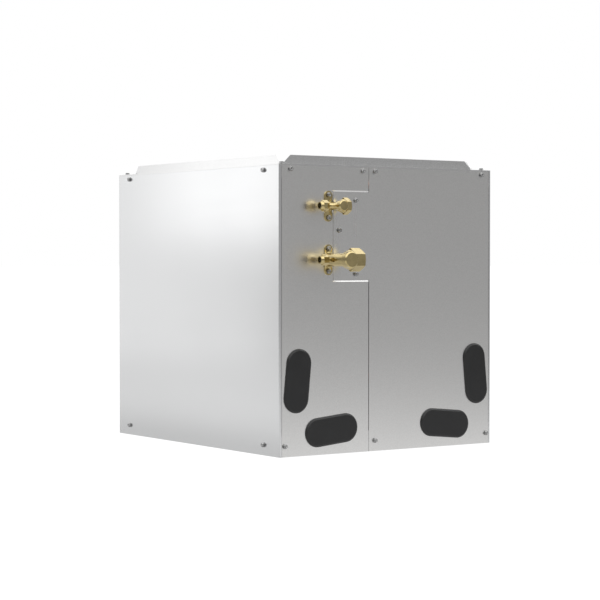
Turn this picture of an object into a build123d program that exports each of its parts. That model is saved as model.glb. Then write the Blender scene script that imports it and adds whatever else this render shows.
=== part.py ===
from build123d import *
from math import asin, atan, cos, degrees, hypot, radians, sin, tan
import os

# Cased evaporator coil: a sheet metal cabinet that stands on a furnace, with an A shaped coil,
# drain pans, two line valves on its front and four drain port plugs.
# Millimetres. Origin at the centre of the underside, front face towards -Y, +Z up.

os.makedirs("parts", exist_ok=True)

# Cabinet
cabinet_width = 444.5
cabinet_depth = 533.4
cabinet_height = 476.25
sheet = 1.0
wall_return = 4.0
bend_radius = 2.5
seam_gap = 0.6
seat_gap = 0.3
lap_gap = 0.15

# Base frame and top frame
base_leg_height = 35.0
base_lip = 38.0
base_hole_radius = 3.5
base_hole_inset = 20.0
ring_thickness = 2.0
top_leg_height = 20.0
flange_height = 16.0
flange_front_setback = 25.5
flange_side_setback = 20.0
front_flange_end = 25.8
side_flange_end = 29.0
front_mitre_run = 12.7
side_mitre_run = 10.0
mitre_start = 4.0
frame_corner_radius = 2.5

# Front panels: the seam, and the tab that the access panel puts between the valves and the seam
seam_x = -42.6
tab_left = -114.7
tab_bottom = 286.8
tab_top = 432.4
tab_lip = 20.0
lip_overlap = 6.0

# Sheet metal screws
screw_radius = 2.1
screw_hole_radius = 2.45
screw_length = 9.0
washer_radius = 4.9
washer_thickness = 1.0
head_across_flats = 7.9
head_height = 3.8
panel_screw_drop = 8.2
panel_screw_rise = 17.8
panel_top_screw_inset = 21.5
panel_low_screw_inset = 10.4
seam_screw_offset = 12.6
tab_screw_inset = 11.3
tab_high_screw_drop = 13.4
tab_low_screw_rise = 10.0
tab_end_screw_x = -69.9
tab_middle_screw_z = 369.1
wall_screw_drop = 9.1
wall_screw_rise = 17.3
wall_front_screw_inset = 46.5
wall_rear_screw_inset = 41.5
top_screw_inset = 12.0

# Drain port plugs: each hides a main outlet and, a little higher, an overflow outlet
plug_length = 105.0
plug_width = 48.0
plug_lip = 3.4
plug_rim = 2.8
plug_rim_drop = 2.2
plug_border = 4.0
plug_clearance = 0.4
plug_skirt_wall = 2.0
plug_skirt_depth = 5.0
plug_tilt = 5.5
bottom_plug_x = 119.3
bottom_plug_z = 39.6
side_plug_x = 187.1
side_plug_z = 123.0
outlet_half_spacing = 27.0
outlet_radius = 12.0
boss_radius = 16.5
boss_reach = 12.5

# Bottom drain pan
pan_half_width = 206.0
pan_front = -246.0
pan_back = 246.0
pan_bottom = 17.0
pan_floor = 3.0
pan_wall = 3.0
pan_height = 45.0
pan_inner_height = 30.0
pan_corner_radius = 12.0
window_half_width = 82.0
window_front = -160.0
window_back = 212.0
seat_rib_thickness = 6.0
rail_width = 24.0
rail_half_length = 240.0
rail_sheet = 1.2

# Side drain pan
side_pan_depth = 40.0
side_pan_top = 440.0
side_pan_back = 240.0

# Liners
liner_thickness = 12.0
liner_front = -255.0
front_liner_thickness = 6.0
front_liner_bottom = 182.0
front_liner_left = -12.0
liner_end_gap = 1.0

# Coil slabs
lean_angle = 16.0
foot_x = 129.3
foot_z = 31.0
row_pitch = 22.0
rows = 2
tube_pitch = 31.75
tubes_per_row = 12
slab_thickness = 44.0
core_thickness = 33.0
fin_front = -170.0
fin_length = 390.0
fin_pitch = 10.0
fin_thickness = 1.2
tube_radius = 4.76
tube_hole_radius = 4.86
sheet_hole_radius = 5.2
tube_sheet = 1.5
tube_sheet_flange = 14.0
tube_reach = 6.0
cap_sheet = 1.2
cap_flange = 12.0
baffle_sheet = 1.2
baffle_low = 49.0

# Refrigerant lines
header_radius = 9.5
header_y = -222.0
header_cross_z = 118.0
header_branch_x = -82.0
suction_bend = 24.0
liquid_line_y = -225.0
liquid_bend = 14.0
liquid_drop_bend = 7.0
liquid_riser_z = 446.0
distributor_top = 438.0
distributor_bottom = 412.0
distributor_neck_radius = 6.0
distributor_skirt_radius = 9.5
distributor_neck = 8.0
distributor_cone = 10.0
feeder_radius = 2.4
feeder_spread = 4.6
feeder_drop = 12.0
feeder_fall = 42.0
feeder_y = -206.0
feeder_x = 12.0
feeder_bend = 7.0

# Valves: shared sizes
valve_x = -126.2
suction_z = 320.4
liquid_z = 408.4
valve_hole_radius = 13.8
shank_inner_end = 250.0
valve_flange_height = 50.6
valve_flange_width = 15.4
valve_flange_thickness = 6.0
valve_screw_spacing = 37.4
port_out = 20.0
thread_gap = 0.3
nut_bevel = 1.2
nut_seal_thickness = 1.6

# Suction valve
suction_shank_radius = 10.4
suction_body_radius = 11.0
suction_shank_bore = 7.9
suction_bore_radius = 8.6
suction_branch_root = 10.2
suction_branch_out = 38.0
suction_collar_radius = 17.2
suction_thread_radius = 13.0
suction_nut_start = 17.7
suction_nut_length = 19.5
suction_nut_flats = 33.7
suction_nut_wall = 4.5
suction_tube_hole = 9.8
suction_body_end = 54.0
suction_stem_radius = 7.6
suction_stem_length = 9.0
suction_cap_radius = 11.7
suction_cap_end = 68.0

# Liquid valve
liquid_shank_radius = 6.3
liquid_body_radius = 6.3
liquid_shank_bore = 3.7
liquid_bore_radius = 4.2
liquid_branch_root = 5.6
liquid_branch_out = 20.0
liquid_collar_radius = 12.4
liquid_thread_radius = 8.6
liquid_nut_start = 16.5
liquid_nut_length = 9.4
liquid_nut_flats = 24.6
liquid_nut_wall = 2.6
liquid_tube_hole = 4.9
liquid_body_end = 35.5
liquid_stem_radius = 4.4
liquid_stem_length = 6.6
liquid_cap_radius = 7.5
liquid_cap_end = 46.0

# Service port, alike on both valves
port_neck_radius = 4.7
port_thread_radius = 5.4
port_bore_radius = 2.4
port_nut_start = 16.5
port_nut_length = 9.9
port_nut_flats = 16.4
port_nose_length = 4.6
port_nose_root = 7.6
port_nose_radius = 6.2
port_mouth_radius = 4.6
port_nut_wall = 4.0
cap_seal_thickness = 1.0
cap_wall = 2.6
cap_chamfer = 1.2

# Derived places
half_width = cabinet_width / 2
half_depth = cabinet_depth / 2
wall_top = cabinet_height - ring_thickness - seat_gap
leg_x = half_width - sheet - lap_gap
leg_y = half_depth - sheet - lap_gap
panel_edge = half_width - wall_return - seam_gap
ring_x = half_width - flange_side_setback - sheet
ring_y = half_depth - flange_front_setback - sheet
slab_length = tube_pitch * tubes_per_row
lean_sin = sin(radians(lean_angle))
lean_cos = cos(radians(lean_angle))
fin_back = fin_front + fin_length
tube_front = fin_front - tube_reach
tube_back = fin_back + tube_reach
pan_top = pan_bottom + pan_height
side_pan_bottom = pan_top + seat_gap
liner_bottom = base_leg_height + liner_end_gap
liner_top = cabinet_height - ring_thickness - top_leg_height - liner_end_gap
liner_face = half_width - sheet - lap_gap - liner_thickness
side_pan_floor = -(liner_face - seat_gap)
apex_z = foot_z + slab_length * lean_cos

front_face = Plane(origin=(0, -half_depth, 0), x_dir=(1, 0, 0), z_dir=(0, -1, 0))
back_face = Plane(origin=(0, half_depth, 0), x_dir=(-1, 0, 0), z_dir=(0, 1, 0))
left_face = Plane(origin=(-half_width, 0, 0), x_dir=(0, -1, 0), z_dir=(-1, 0, 0))
right_face = Plane(origin=(half_width, 0, 0), x_dir=(0, 1, 0), z_dir=(1, 0, 0))
top_face = Plane(origin=(0, 0, cabinet_height), x_dir=(1, 0, 0), z_dir=(0, 0, 1))

# Plug places on the front face: x, z and the turn of the long axis
left_bottom_place = (-bottom_plug_x, bottom_plug_z, plug_tilt)
right_bottom_place = (bottom_plug_x, bottom_plug_z, -plug_tilt)
left_side_place = (-side_plug_x, side_plug_z, 90 - plug_tilt)
right_side_place = (side_plug_x, side_plug_z, 90 + plug_tilt)

# Screw places on each face
high_screw_z = cabinet_height - panel_screw_drop
piping_screws = [
    (-half_width + panel_top_screw_inset, high_screw_z),
    (seam_x - seam_screw_offset, high_screw_z),
    (-half_width + panel_low_screw_inset, panel_screw_rise),
]
access_screws = [
    (seam_x + seam_screw_offset, high_screw_z),
    (half_width - panel_top_screw_inset, high_screw_z),
    (seam_x + seam_screw_offset, panel_screw_rise),
    (half_width - panel_low_screw_inset, panel_screw_rise),
]
tab_screws = [
    (tab_end_screw_x, tab_top - tab_high_screw_drop),
    (tab_left + tab_screw_inset, tab_middle_screw_z),
    (tab_end_screw_x, tab_bottom + tab_low_screw_rise),
]
back_screws = [
    (x, z)
    for x in (-half_width + panel_top_screw_inset, 0, half_width - panel_top_screw_inset)
    for z in (panel_screw_rise, high_screw_z)
]
wall_screw_heights = (wall_screw_rise, cabinet_height - wall_screw_drop)
wall_screw_depths = (-half_depth + wall_front_screw_inset, half_depth - wall_rear_screw_inset)
left_wall_screws = [(-y, z) for y in wall_screw_depths for z in wall_screw_heights]
right_wall_screws = [(y, z) for y in wall_screw_depths for z in wall_screw_heights]
top_screws = [
    (x, y)
    for x in (-half_width + top_screw_inset, half_width - top_screw_inset)
    for y in (-half_depth + top_screw_inset, half_depth - top_screw_inset)
]
cabinet_screws = (
    (piping_screws, front_face),
    (access_screws, front_face),
    (back_screws, back_face),
    (left_wall_screws, left_face),
    (right_wall_screws, right_face),
)


def keep(piece, name):
    """Label a finished piece and write its STEP file."""
    piece.part.label = name
    export_step(piece.part, "parts/" + name + ".step")


def cut_plug_openings(places, plane, depth, grow=0.0):
    """Cut the slots that the plugs close."""
    for x, z, turn in places:
        with BuildSketch(plane) as outline:
            with Locations((x, z)):
                SlotOverall(
                    plug_length - 2 * plug_border + 2 * plug_clearance + 2 * grow,
                    plug_width - 2 * plug_border + 2 * plug_clearance + 2 * grow,
                    rotation=turn,
                )
        extrude(outline.sketch, amount=-depth, mode=Mode.SUBTRACT)


def cut_screw_holes(places, plane, depth):
    """Cut screw clearance holes from a face inwards."""
    with BuildSketch(plane) as outline:
        with Locations(*places):
            Circle(screw_hole_radius)
    extrude(outline.sketch, amount=-depth, mode=Mode.SUBTRACT)


def hex_washer_screws(places, plane, length=screw_length):
    """Hex washer head screws seated on a face, shanks pointing inwards."""
    with BuildSketch(plane) as outline:
        with Locations(*places):
            Circle(washer_radius)
    extrude(outline.sketch, amount=washer_thickness)
    with BuildSketch(plane.offset(washer_thickness)) as outline:
        with Locations(*places):
            RegularPolygon(head_across_flats / 2, 6, major_radius=False)
    extrude(outline.sketch, amount=head_height)
    with BuildSketch(plane) as outline:
        with Locations(*places):
            Circle(screw_radius)
    extrude(outline.sketch, amount=-length)


def rod(start, end, radius):
    """A straight round bar between two points."""
    run = Vector(*end) - Vector(*start)
    with BuildSketch(Plane(origin=start, z_dir=run)) as outline:
        Circle(radius)
    extrude(outline.sketch, amount=run.length)


# Base frame: a rolled ring inside the foot of the walls, with the duct opening in its lip
with BuildPart() as base_frame:
    with BuildSketch():
        RectangleRounded(2 * leg_x, 2 * leg_y, frame_corner_radius)
    extrude(amount=base_leg_height)
    with BuildSketch(Plane.XY.offset(sheet)):
        RectangleRounded(2 * (leg_x - sheet), 2 * (leg_y - sheet), frame_corner_radius - sheet)
    extrude(amount=base_leg_height, mode=Mode.SUBTRACT)
    with BuildSketch():
        Rectangle(2 * (leg_x - base_lip), 2 * (leg_y - base_lip))
    extrude(amount=sheet, mode=Mode.SUBTRACT)
    with BuildSketch():
        with GridLocations(2 * (leg_x - base_hole_inset), 2 * (leg_y - base_hole_inset), 2, 2):
            Circle(base_hole_radius)
    extrude(amount=sheet, mode=Mode.SUBTRACT)
    cut_plug_openings([left_bottom_place, right_bottom_place], front_face, 2 * bend_radius, seam_gap)
    for places, face in cabinet_screws:
        cut_screw_holes(places, face, 2 * bend_radius)
keep(base_frame, "base_frame")

# Top frame: a ring over the walls, legs inside them and four mitred duct flanges
front_flange_plane = Plane(
    origin=(0, -half_depth + flange_front_setback, cabinet_height), x_dir=(1, 0, 0), z_dir=(0, -1, 0)
)
back_flange_plane = Plane(
    origin=(0, half_depth - flange_front_setback, cabinet_height), x_dir=(-1, 0, 0), z_dir=(0, 1, 0)
)
left_flange_plane = Plane(
    origin=(-half_width + flange_side_setback, 0, cabinet_height), x_dir=(0, -1, 0), z_dir=(-1, 0, 0)
)
right_flange_plane = Plane(
    origin=(half_width - flange_side_setback, 0, cabinet_height), x_dir=(0, 1, 0), z_dir=(1, 0, 0)
)
with BuildPart() as top_frame:
    with BuildSketch(top_face.offset(-ring_thickness)):
        RectangleRounded(cabinet_width, cabinet_depth, bend_radius)
        Rectangle(2 * ring_x, 2 * ring_y, mode=Mode.SUBTRACT)
    extrude(amount=ring_thickness)
    with BuildSketch(top_face.offset(-ring_thickness - top_leg_height)):
        RectangleRounded(2 * leg_x, 2 * leg_y, frame_corner_radius)
        RectangleRounded(
            2 * (leg_x - sheet), 2 * (leg_y - sheet), frame_corner_radius - sheet, mode=Mode.SUBTRACT
        )
    extrude(amount=top_leg_height)
    flange_runs = (
        (front_flange_plane, half_width - front_flange_end, front_mitre_run),
        (back_flange_plane, half_width - front_flange_end, front_mitre_run),
        (left_flange_plane, half_depth - side_flange_end, side_mitre_run),
        (right_flange_plane, half_depth - side_flange_end, side_mitre_run),
    )
    for flange_plane, half_run, mitre_run in flange_runs:
        with BuildSketch(flange_plane):
            with BuildLine():
                Polyline(
                    (-half_run, -ring_thickness / 2),
                    (half_run, -ring_thickness / 2),
                    (half_run, mitre_start),
                    (half_run - mitre_run, flange_height),
                    (-half_run + mitre_run, flange_height),
                    (-half_run, mitre_start),
                    close=True,
                )
            make_face()
        extrude(amount=-sheet)
    for places, face in cabinet_screws:
        cut_screw_holes(places, face, 2 * bend_radius)
    cut_screw_holes(top_screws, top_face, ring_thickness)
keep(top_frame, "top_frame")


def wall(side, plane, screws):
    """A side wall with its front and rear edges turned in."""
    depth_of_form = 5 * wall_return
    with BuildSketch() as outline:
        with Locations((side * (half_width - depth_of_form), 0)):
            RectangleRounded(2 * depth_of_form, cabinet_depth, bend_radius)
            RectangleRounded(
                2 * (depth_of_form - sheet), cabinet_depth - 2 * sheet, bend_radius - sheet, mode=Mode.SUBTRACT
            )
        with Locations((side * (half_width - wall_return / 2), 0)):
            Rectangle(wall_return, cabinet_depth, mode=Mode.INTERSECT)
    extrude(outline.sketch, amount=wall_top)
    cut_screw_holes(screws, plane, 2 * sheet)


with BuildPart() as left_wall:
    wall(-1, left_face, left_wall_screws)
keep(left_wall, "left_wall")

with BuildPart() as right_wall:
    wall(1, right_face, right_wall_screws)
keep(right_wall, "right_wall")

# Back panel
with BuildPart() as back_panel:
    with BuildSketch(back_face):
        Rectangle(2 * panel_edge, wall_top, align=(Align.CENTER, Align.MIN))
    extrude(amount=-sheet)
    cut_screw_holes(back_screws, back_face, 2 * sheet)
keep(back_panel, "back_panel")

# Piping panel: front left, notched for the tab, with a joggled lip behind the notch
seam_left = seam_x - seam_gap / 2
seam_right = seam_x + seam_gap / 2
notch_left = tab_left - seam_gap
valve_centres = [(valve_x, suction_z), (valve_x, liquid_z)]
valve_screws = [(valve_x, z + side * valve_screw_spacing / 2) for z in (suction_z, liquid_z) for side in (-1, 1)]


def span(x_low, x_high, z_low, z_high, mode=Mode.ADD):
    """A rectangle on a front sketch between its sides."""
    with Locations(((x_low + x_high) / 2, (z_low + z_high) / 2)):
        Rectangle(x_high - x_low, z_high - z_low, mode=mode)


with BuildPart() as piping_panel:
    with BuildSketch(front_face):
        span(-panel_edge, seam_left, 0, wall_top)
        span(notch_left, seam_x, tab_bottom - seam_gap, tab_top + seam_gap, mode=Mode.SUBTRACT)
    extrude(amount=-sheet)
    with BuildSketch(front_face.offset(-sheet)):
        span(notch_left - lip_overlap, seam_left, tab_bottom - lip_overlap, tab_top + lip_overlap)
        span(tab_left + tab_lip, seam_x, tab_bottom + tab_lip, tab_top - tab_lip, mode=Mode.SUBTRACT)
    extrude(amount=-sheet)
    with BuildSketch(front_face):
        with Locations(*valve_centres):
            Circle(valve_hole_radius)
    extrude(amount=-2 * sheet, mode=Mode.SUBTRACT)
    cut_plug_openings([left_bottom_place, left_side_place], front_face, 2 * sheet)
    cut_screw_holes(piping_screws + tab_screws + valve_screws, front_face, 2 * sheet)
keep(piping_panel, "piping_panel")

# Access panel: front right, with the tab that fills the notch
with BuildPart() as access_panel:
    with BuildSketch(front_face):
        span(seam_right, panel_edge, 0, wall_top)
        span(tab_left, seam_right, tab_bottom, tab_top)
    extrude(amount=-sheet)
    cut_plug_openings([right_bottom_place, right_side_place], front_face, 2 * sheet)
    cut_screw_holes(access_screws + tab_screws, front_face, 2 * sheet)
keep(access_panel, "access_panel")


def drain_plug(place):
    """A snap-in plug: a bevelled lip outside the panel and a hollow skirt through its slot."""
    x, z, turn = place
    with BuildSketch(front_face) as outline:
        with Locations((x, z)):
            SlotOverall(plug_length, plug_width, rotation=turn)
    extrude(outline.sketch, amount=plug_lip)
    outer_edges = faces().filter_by(Axis.Y).sort_by(Axis.Y)[0].edges()
    chamfer(outer_edges, plug_rim_drop, plug_rim)
    with BuildSketch(front_face) as outline:
        with Locations((x, z)):
            SlotOverall(plug_length - 2 * plug_border, plug_width - 2 * plug_border, rotation=turn)
            SlotOverall(
                plug_length - 2 * (plug_border + plug_skirt_wall),
                plug_width - 2 * (plug_border + plug_skirt_wall),
                rotation=turn,
                mode=Mode.SUBTRACT,
            )
    extrude(outline.sketch, amount=-(sheet + plug_skirt_depth))


with BuildPart() as left_bottom_plug:
    drain_plug(left_bottom_place)
keep(left_bottom_plug, "left_bottom_plug")

with BuildPart() as right_bottom_plug:
    drain_plug(right_bottom_place)
keep(right_bottom_plug, "right_bottom_plug")

with BuildPart() as left_side_plug:
    drain_plug(left_side_place)
keep(left_side_plug, "left_side_plug")

with BuildPart() as right_side_plug:
    drain_plug(right_side_place)
keep(right_side_plug, "right_side_plug")


def side_liner(side):
    """An insulation board against a side wall, between the frame legs."""
    liner_back = half_depth - sheet - lap_gap - liner_thickness - seat_gap
    centre_x = side * (liner_face + liner_thickness / 2)
    with BuildSketch(Plane.XY.offset(liner_bottom)) as outline:
        with Locations((centre_x, (liner_front + liner_back) / 2)):
            Rectangle(liner_thickness, liner_back - liner_front)
    extrude(outline.sketch, amount=liner_top - liner_bottom)


with BuildPart() as left_liner:
    side_liner(-1)
keep(left_liner, "left_liner")

with BuildPart() as right_liner:
    side_liner(1)
keep(right_liner, "right_liner")

with BuildPart() as back_liner:
    with BuildSketch(back_face.offset(-sheet - lap_gap)):
        span(frame_corner_radius - leg_x, leg_x - frame_corner_radius, liner_bottom, liner_top)
    extrude(amount=-liner_thickness)
keep(back_liner, "back_liner")

with BuildPart() as access_panel_liner:
    with BuildSketch(front_face.offset(-sheet - lap_gap)):
        span(front_liner_left, liner_face, front_liner_bottom, liner_top)
    extrude(amount=-front_liner_thickness)
keep(access_panel_liner, "access_panel_liner")


def slab_plane(side, y):
    """Cross-section plane of a slab: local x up the slab, local y across it towards +X."""
    return Plane(
        origin=(side * foot_x, y, foot_z), x_dir=(-side * lean_sin, 0, lean_cos), z_dir=(0, 1, 0)
    )


def slab_point(side, along, across, y):
    """A point of a slab: along its height, and across it outwards from its middle."""
    x = side * (foot_x - along * lean_sin + across * lean_cos)
    return (x, y, foot_z + along * lean_cos + across * lean_sin)


def tube_height(level):
    """Distance up the slab of a tube level."""
    return (level + 0.5) * tube_pitch


def inner_face_x(z):
    """Half the open width between the slabs at a height."""
    return foot_x - (z - foot_z) * tan(radians(lean_angle)) - slab_thickness / 2 / lean_cos


# Bottom drain pan: a moulded ring under both slabs, with two outlets behind each low plug
with BuildPart() as bottom_drain_pan:
    pan_centre_y = (pan_front + pan_back) / 2
    pan_length = pan_back - pan_front
    window_centre_y = (window_front + window_back) / 2
    window_length = window_back - window_front
    with BuildSketch(Plane.XY.offset(pan_bottom)):
        with Locations((0, pan_centre_y)):
            RectangleRounded(2 * pan_half_width, pan_length, pan_corner_radius)
    extrude(amount=pan_height)
    with BuildSketch(Plane.XY.offset(pan_bottom + pan_floor)):
        with Locations((0, pan_centre_y)):
            RectangleRounded(
                2 * (pan_half_width - pan_wall), pan_length - 2 * pan_wall, pan_corner_radius - pan_wall
            )
        with Locations((0, window_centre_y)):
            RectangleRounded(
                2 * (window_half_width + pan_wall),
                window_length + 2 * pan_wall,
                pan_corner_radius,
                mode=Mode.SUBTRACT,
            )
    extrude(amount=pan_height, mode=Mode.SUBTRACT)
    with BuildSketch(Plane.XY.offset(pan_bottom + pan_inner_height)):
        with Locations((0, window_centre_y)):
            Rectangle(2 * (window_half_width + 2 * pan_wall), window_length + 4 * pan_wall)
    extrude(amount=pan_height, mode=Mode.SUBTRACT)
    with BuildSketch(Plane.XY.offset(pan_bottom)):
        with Locations((0, window_centre_y)):
            RectangleRounded(2 * window_half_width, window_length, pan_corner_radius - pan_wall)
    extrude(amount=pan_height, mode=Mode.SUBTRACT)
    # Seat ribs carry the feet of the slabs
    rib_depths = [fin_front + fin_length * share for share in (0.04, 0.5, 0.96)]
    for side in (-1, 1):
        inner_foot = slab_point(side, -seat_gap, -slab_thickness / 2, 0)
        outer_foot = slab_point(side, -seat_gap, slab_thickness / 2, 0)
        for rib_y in rib_depths:
            with BuildSketch(Plane(origin=(0, rib_y, 0), x_dir=(1, 0, 0), z_dir=(0, -1, 0))):
                with BuildLine():
                    Polyline(
                        (inner_foot[0], pan_bottom + pan_floor / 2),
                        (inner_foot[0], inner_foot[2]),
                        (outer_foot[0], outer_foot[2]),
                        (outer_foot[0], pan_bottom + pan_floor / 2),
                        close=True,
                    )
                make_face()
            extrude(amount=seat_rib_thickness / 2, both=True)
    outlet_places = [
        (
            side * (bottom_plug_x - shift * cos(radians(plug_tilt))),
            bottom_plug_z + shift * sin(radians(plug_tilt)),
        )
        for side in (-1, 1)
        for shift in (-outlet_half_spacing, outlet_half_spacing)
    ]
    pan_front_face = Plane(origin=(0, pan_front, 0), x_dir=(1, 0, 0), z_dir=(0, -1, 0))
    with BuildSketch(pan_front_face):
        with Locations(*outlet_places):
            Circle(boss_radius)
    extrude(amount=boss_reach)
    with BuildSketch(pan_front_face.offset(boss_reach)):
        with Locations(*outlet_places):
            Circle(outlet_radius)
    extrude(amount=-(boss_reach + pan_wall), mode=Mode.SUBTRACT)
keep(bottom_drain_pan, "bottom_drain_pan")


def pan_rail(side):
    """An inverted channel that carries a long edge of the pan on the base lip."""
    rail_x = side * (pan_half_width - rail_width / 2)
    with BuildSketch(Plane.XY.offset(sheet)) as outline:
        with Locations((rail_x, 0)):
            Rectangle(rail_width, 2 * rail_half_length)
    extrude(outline.sketch, amount=pan_bottom - sheet)
    with BuildSketch(Plane.XY.offset(sheet)) as outline:
        with Locations((rail_x, 0)):
            Rectangle(rail_width - 2 * rail_sheet, 2 * rail_half_length)
    extrude(outline.sketch, amount=pan_bottom - sheet - rail_sheet, mode=Mode.SUBTRACT)


with BuildPart() as left_pan_rail:
    pan_rail(-1)
keep(left_pan_rail, "left_pan_rail")

with BuildPart() as right_pan_rail:
    pan_rail(1)
keep(right_pan_rail, "right_pan_rail")

# Side drain pan: a tray on edge beside the left slab, used when the cabinet lies on its side
with BuildPart() as side_drain_pan:
    tray_height = side_pan_top - side_pan_bottom
    tray_length = side_pan_back - pan_front
    tray_plane = Plane(
        origin=(side_pan_floor, (pan_front + side_pan_back) / 2, (side_pan_top + side_pan_bottom) / 2),
        x_dir=(0, 1, 0),
        z_dir=(1, 0, 0),
    )
    with BuildSketch(tray_plane):
        RectangleRounded(tray_length, tray_height, pan_corner_radius)
    extrude(amount=side_pan_depth)
    with BuildSketch(tray_plane.offset(pan_floor)):
        RectangleRounded(
            tray_length - 2 * pan_wall, tray_height - 2 * pan_wall, pan_corner_radius - pan_wall
        )
    extrude(amount=side_pan_depth, mode=Mode.SUBTRACT)
    side_outlets = [
        (
            -side_plug_x + shift * sin(radians(plug_tilt)),
            side_plug_z + shift * cos(radians(plug_tilt)),
        )
        for shift in (-outlet_half_spacing, outlet_half_spacing)
    ]
    with BuildSketch(pan_front_face):
        with Locations(*side_outlets):
            Circle(boss_radius)
    extrude(amount=boss_reach)
    with BuildSketch(pan_front_face.offset(boss_reach)):
        with Locations(*side_outlets):
            Circle(outlet_radius)
    extrude(amount=-(boss_reach + pan_wall), mode=Mode.SUBTRACT)
keep(side_drain_pan, "side_drain_pan")


def cut_tube_holes(side, y, radius, depth):
    """Holes for every tube of a slab."""
    with BuildSketch(slab_plane(side, y)) as outline:
        with Locations((slab_length / 2, 0)):
            with GridLocations(tube_pitch, row_pitch, tubes_per_row, rows):
                Circle(radius)
    extrude(outline.sketch, amount=depth, mode=Mode.SUBTRACT)


def fin_pack(side):
    """The stack of fins of one slab, with its closely packed core and free outer edges."""
    foot = Plane(
        origin=(side * foot_x, (fin_front + fin_back) / 2, foot_z),
        x_dir=(0, 1, 0),
        z_dir=(-side * lean_sin, 0, lean_cos),
    )
    fin_count = int((fin_length - fin_thickness) // fin_pitch) + 1
    with BuildSketch(foot) as outline:
        Rectangle(fin_length, core_thickness)
        with GridLocations(fin_pitch, slab_thickness, fin_count, 1):
            Rectangle(fin_thickness, slab_thickness)
    extrude(outline.sketch, amount=slab_length)
    cut_tube_holes(side, fin_front, tube_hole_radius, fin_length)


with BuildPart() as left_fin_pack:
    fin_pack(-1)
keep(left_fin_pack, "left_fin_pack")

with BuildPart() as right_fin_pack:
    fin_pack(1)
keep(right_fin_pack, "right_fin_pack")


def end_plate(side, y, outward):
    """A tube sheet against a slab end, its long edges turned away from the fins."""
    with BuildSketch(slab_plane(side, y)) as outline:
        Rectangle(slab_length, slab_thickness, align=(Align.MIN, Align.CENTER))
    extrude(outline.sketch, amount=outward * tube_sheet)
    with BuildSketch(slab_plane(side, y)) as outline:
        with Locations((slab_length / 2, 0)):
            with GridLocations(slab_length, slab_thickness - tube_sheet, 1, 2):
                Rectangle(slab_length, tube_sheet)
    extrude(outline.sketch, amount=outward * tube_sheet_flange)
    cut_tube_holes(side, y, sheet_hole_radius, outward * tube_sheet)


with BuildPart() as left_front_tube_sheet:
    end_plate(-1, fin_front, -1)
keep(left_front_tube_sheet, "left_front_tube_sheet")

with BuildPart() as left_rear_tube_sheet:
    end_plate(-1, fin_back, 1)
keep(left_rear_tube_sheet, "left_rear_tube_sheet")

with BuildPart() as right_front_tube_sheet:
    end_plate(1, fin_front, -1)
keep(right_front_tube_sheet, "right_front_tube_sheet")

with BuildPart() as right_rear_tube_sheet:
    end_plate(1, fin_back, 1)
keep(right_rear_tube_sheet, "right_rear_tube_sheet")


def hairpins(side):
    """Hairpin tubes: two legs through the fins, joined by a bend behind the rear tube sheet."""
    with BuildSketch(slab_plane(side, tube_front)) as outline:
        with Locations((slab_length / 2, 0)):
            with GridLocations(tube_pitch, row_pitch, tubes_per_row, rows):
                Circle(tube_radius)
    extrude(outline.sketch, amount=tube_back - tube_front)
    rear = slab_plane(side, tube_back)
    for level in range(tubes_per_row):
        with BuildSketch(rear) as outline:
            with Locations((tube_height(level), row_pitch / 2)):
                Circle(tube_radius)
        centre = rear.from_local_coords((tube_height(level), 0, 0))
        revolve(outline.sketch, axis=Axis(centre, rear.x_dir), revolution_arc=180)


with BuildPart() as left_hairpins:
    hairpins(-1)
keep(left_hairpins, "left_hairpins")

with BuildPart() as right_hairpins:
    hairpins(1)
keep(right_hairpins, "right_hairpins")

# Each circuit takes half of the levels, so the front bends skip its two ends
circuit_levels = tubes_per_row // 2


def return_bends(side):
    """Front bends that join one hairpin to the next within each circuit."""
    front = slab_plane(side, tube_front)
    for level in range(tubes_per_row - 1):
        if (level + 1) % circuit_levels == 0:
            continue
        step = level % circuit_levels
        row_side = 1 if step % 2 == 0 else -1
        across = -side * row_side * row_pitch / 2
        with BuildSketch(front) as outline:
            with Locations((tube_height(level), across)):
                Circle(tube_radius)
        centre = front.from_local_coords((tube_height(level) + tube_pitch / 2, across, 0))
        revolve(outline.sketch, axis=Axis(centre, -front.y_dir), revolution_arc=180)


with BuildPart() as left_return_bends:
    return_bends(-1)
keep(left_return_bends, "left_return_bends")

with BuildPart() as right_return_bends:
    return_bends(1)
keep(right_return_bends, "right_return_bends")

# Apex cap: a folded strip that closes the top of the A
with BuildPart() as apex_cap:
    cap_lift = seat_gap
    inner_top = slab_point(1, slab_length + cap_lift, -slab_thickness / 2, 0)
    outer_top = slab_point(1, slab_length + cap_lift, slab_thickness / 2 + cap_lift, 0)
    low_rim = slab_point(1, slab_length - cap_flange, slab_thickness / 2 + cap_lift, 0)
    ridge_z = inner_top[2] + inner_top[0] * tan(radians(lean_angle))
    cap_plane = Plane(origin=(0, fin_back + tube_sheet, 0), x_dir=(1, 0, 0), z_dir=(0, -1, 0))
    with BuildSketch(cap_plane):
        with BuildLine():
            under = Polyline(
                (-low_rim[0], low_rim[2]),
                (-outer_top[0], outer_top[2]),
                (0, ridge_z),
                (outer_top[0], outer_top[2]),
                (low_rim[0], low_rim[2]),
            )
            offset(under, amount=cap_sheet, side=Side.LEFT)
        make_face()
    extrude(amount=fin_length + 2 * tube_sheet)
keep(apex_cap, "apex_cap")


def baffle(y, outward):
    """A plate that closes one end of the A between the tube sheets."""
    high = foot_z + slab_length * lean_cos - slab_thickness / 2 * lean_sin - 2 * seat_gap
    low_x = inner_face_x(baffle_low) - seat_gap
    high_x = inner_face_x(high) - seat_gap
    with BuildSketch(Plane(origin=(0, y, 0), x_dir=(1, 0, 0), z_dir=(0, -1, 0))) as outline:
        with BuildLine():
            Polyline((-low_x, baffle_low), (low_x, baffle_low), (high_x, high), (-high_x, high), close=True)
        make_face()
    extrude(outline.sketch, amount=outward * baffle_sheet)


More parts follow.
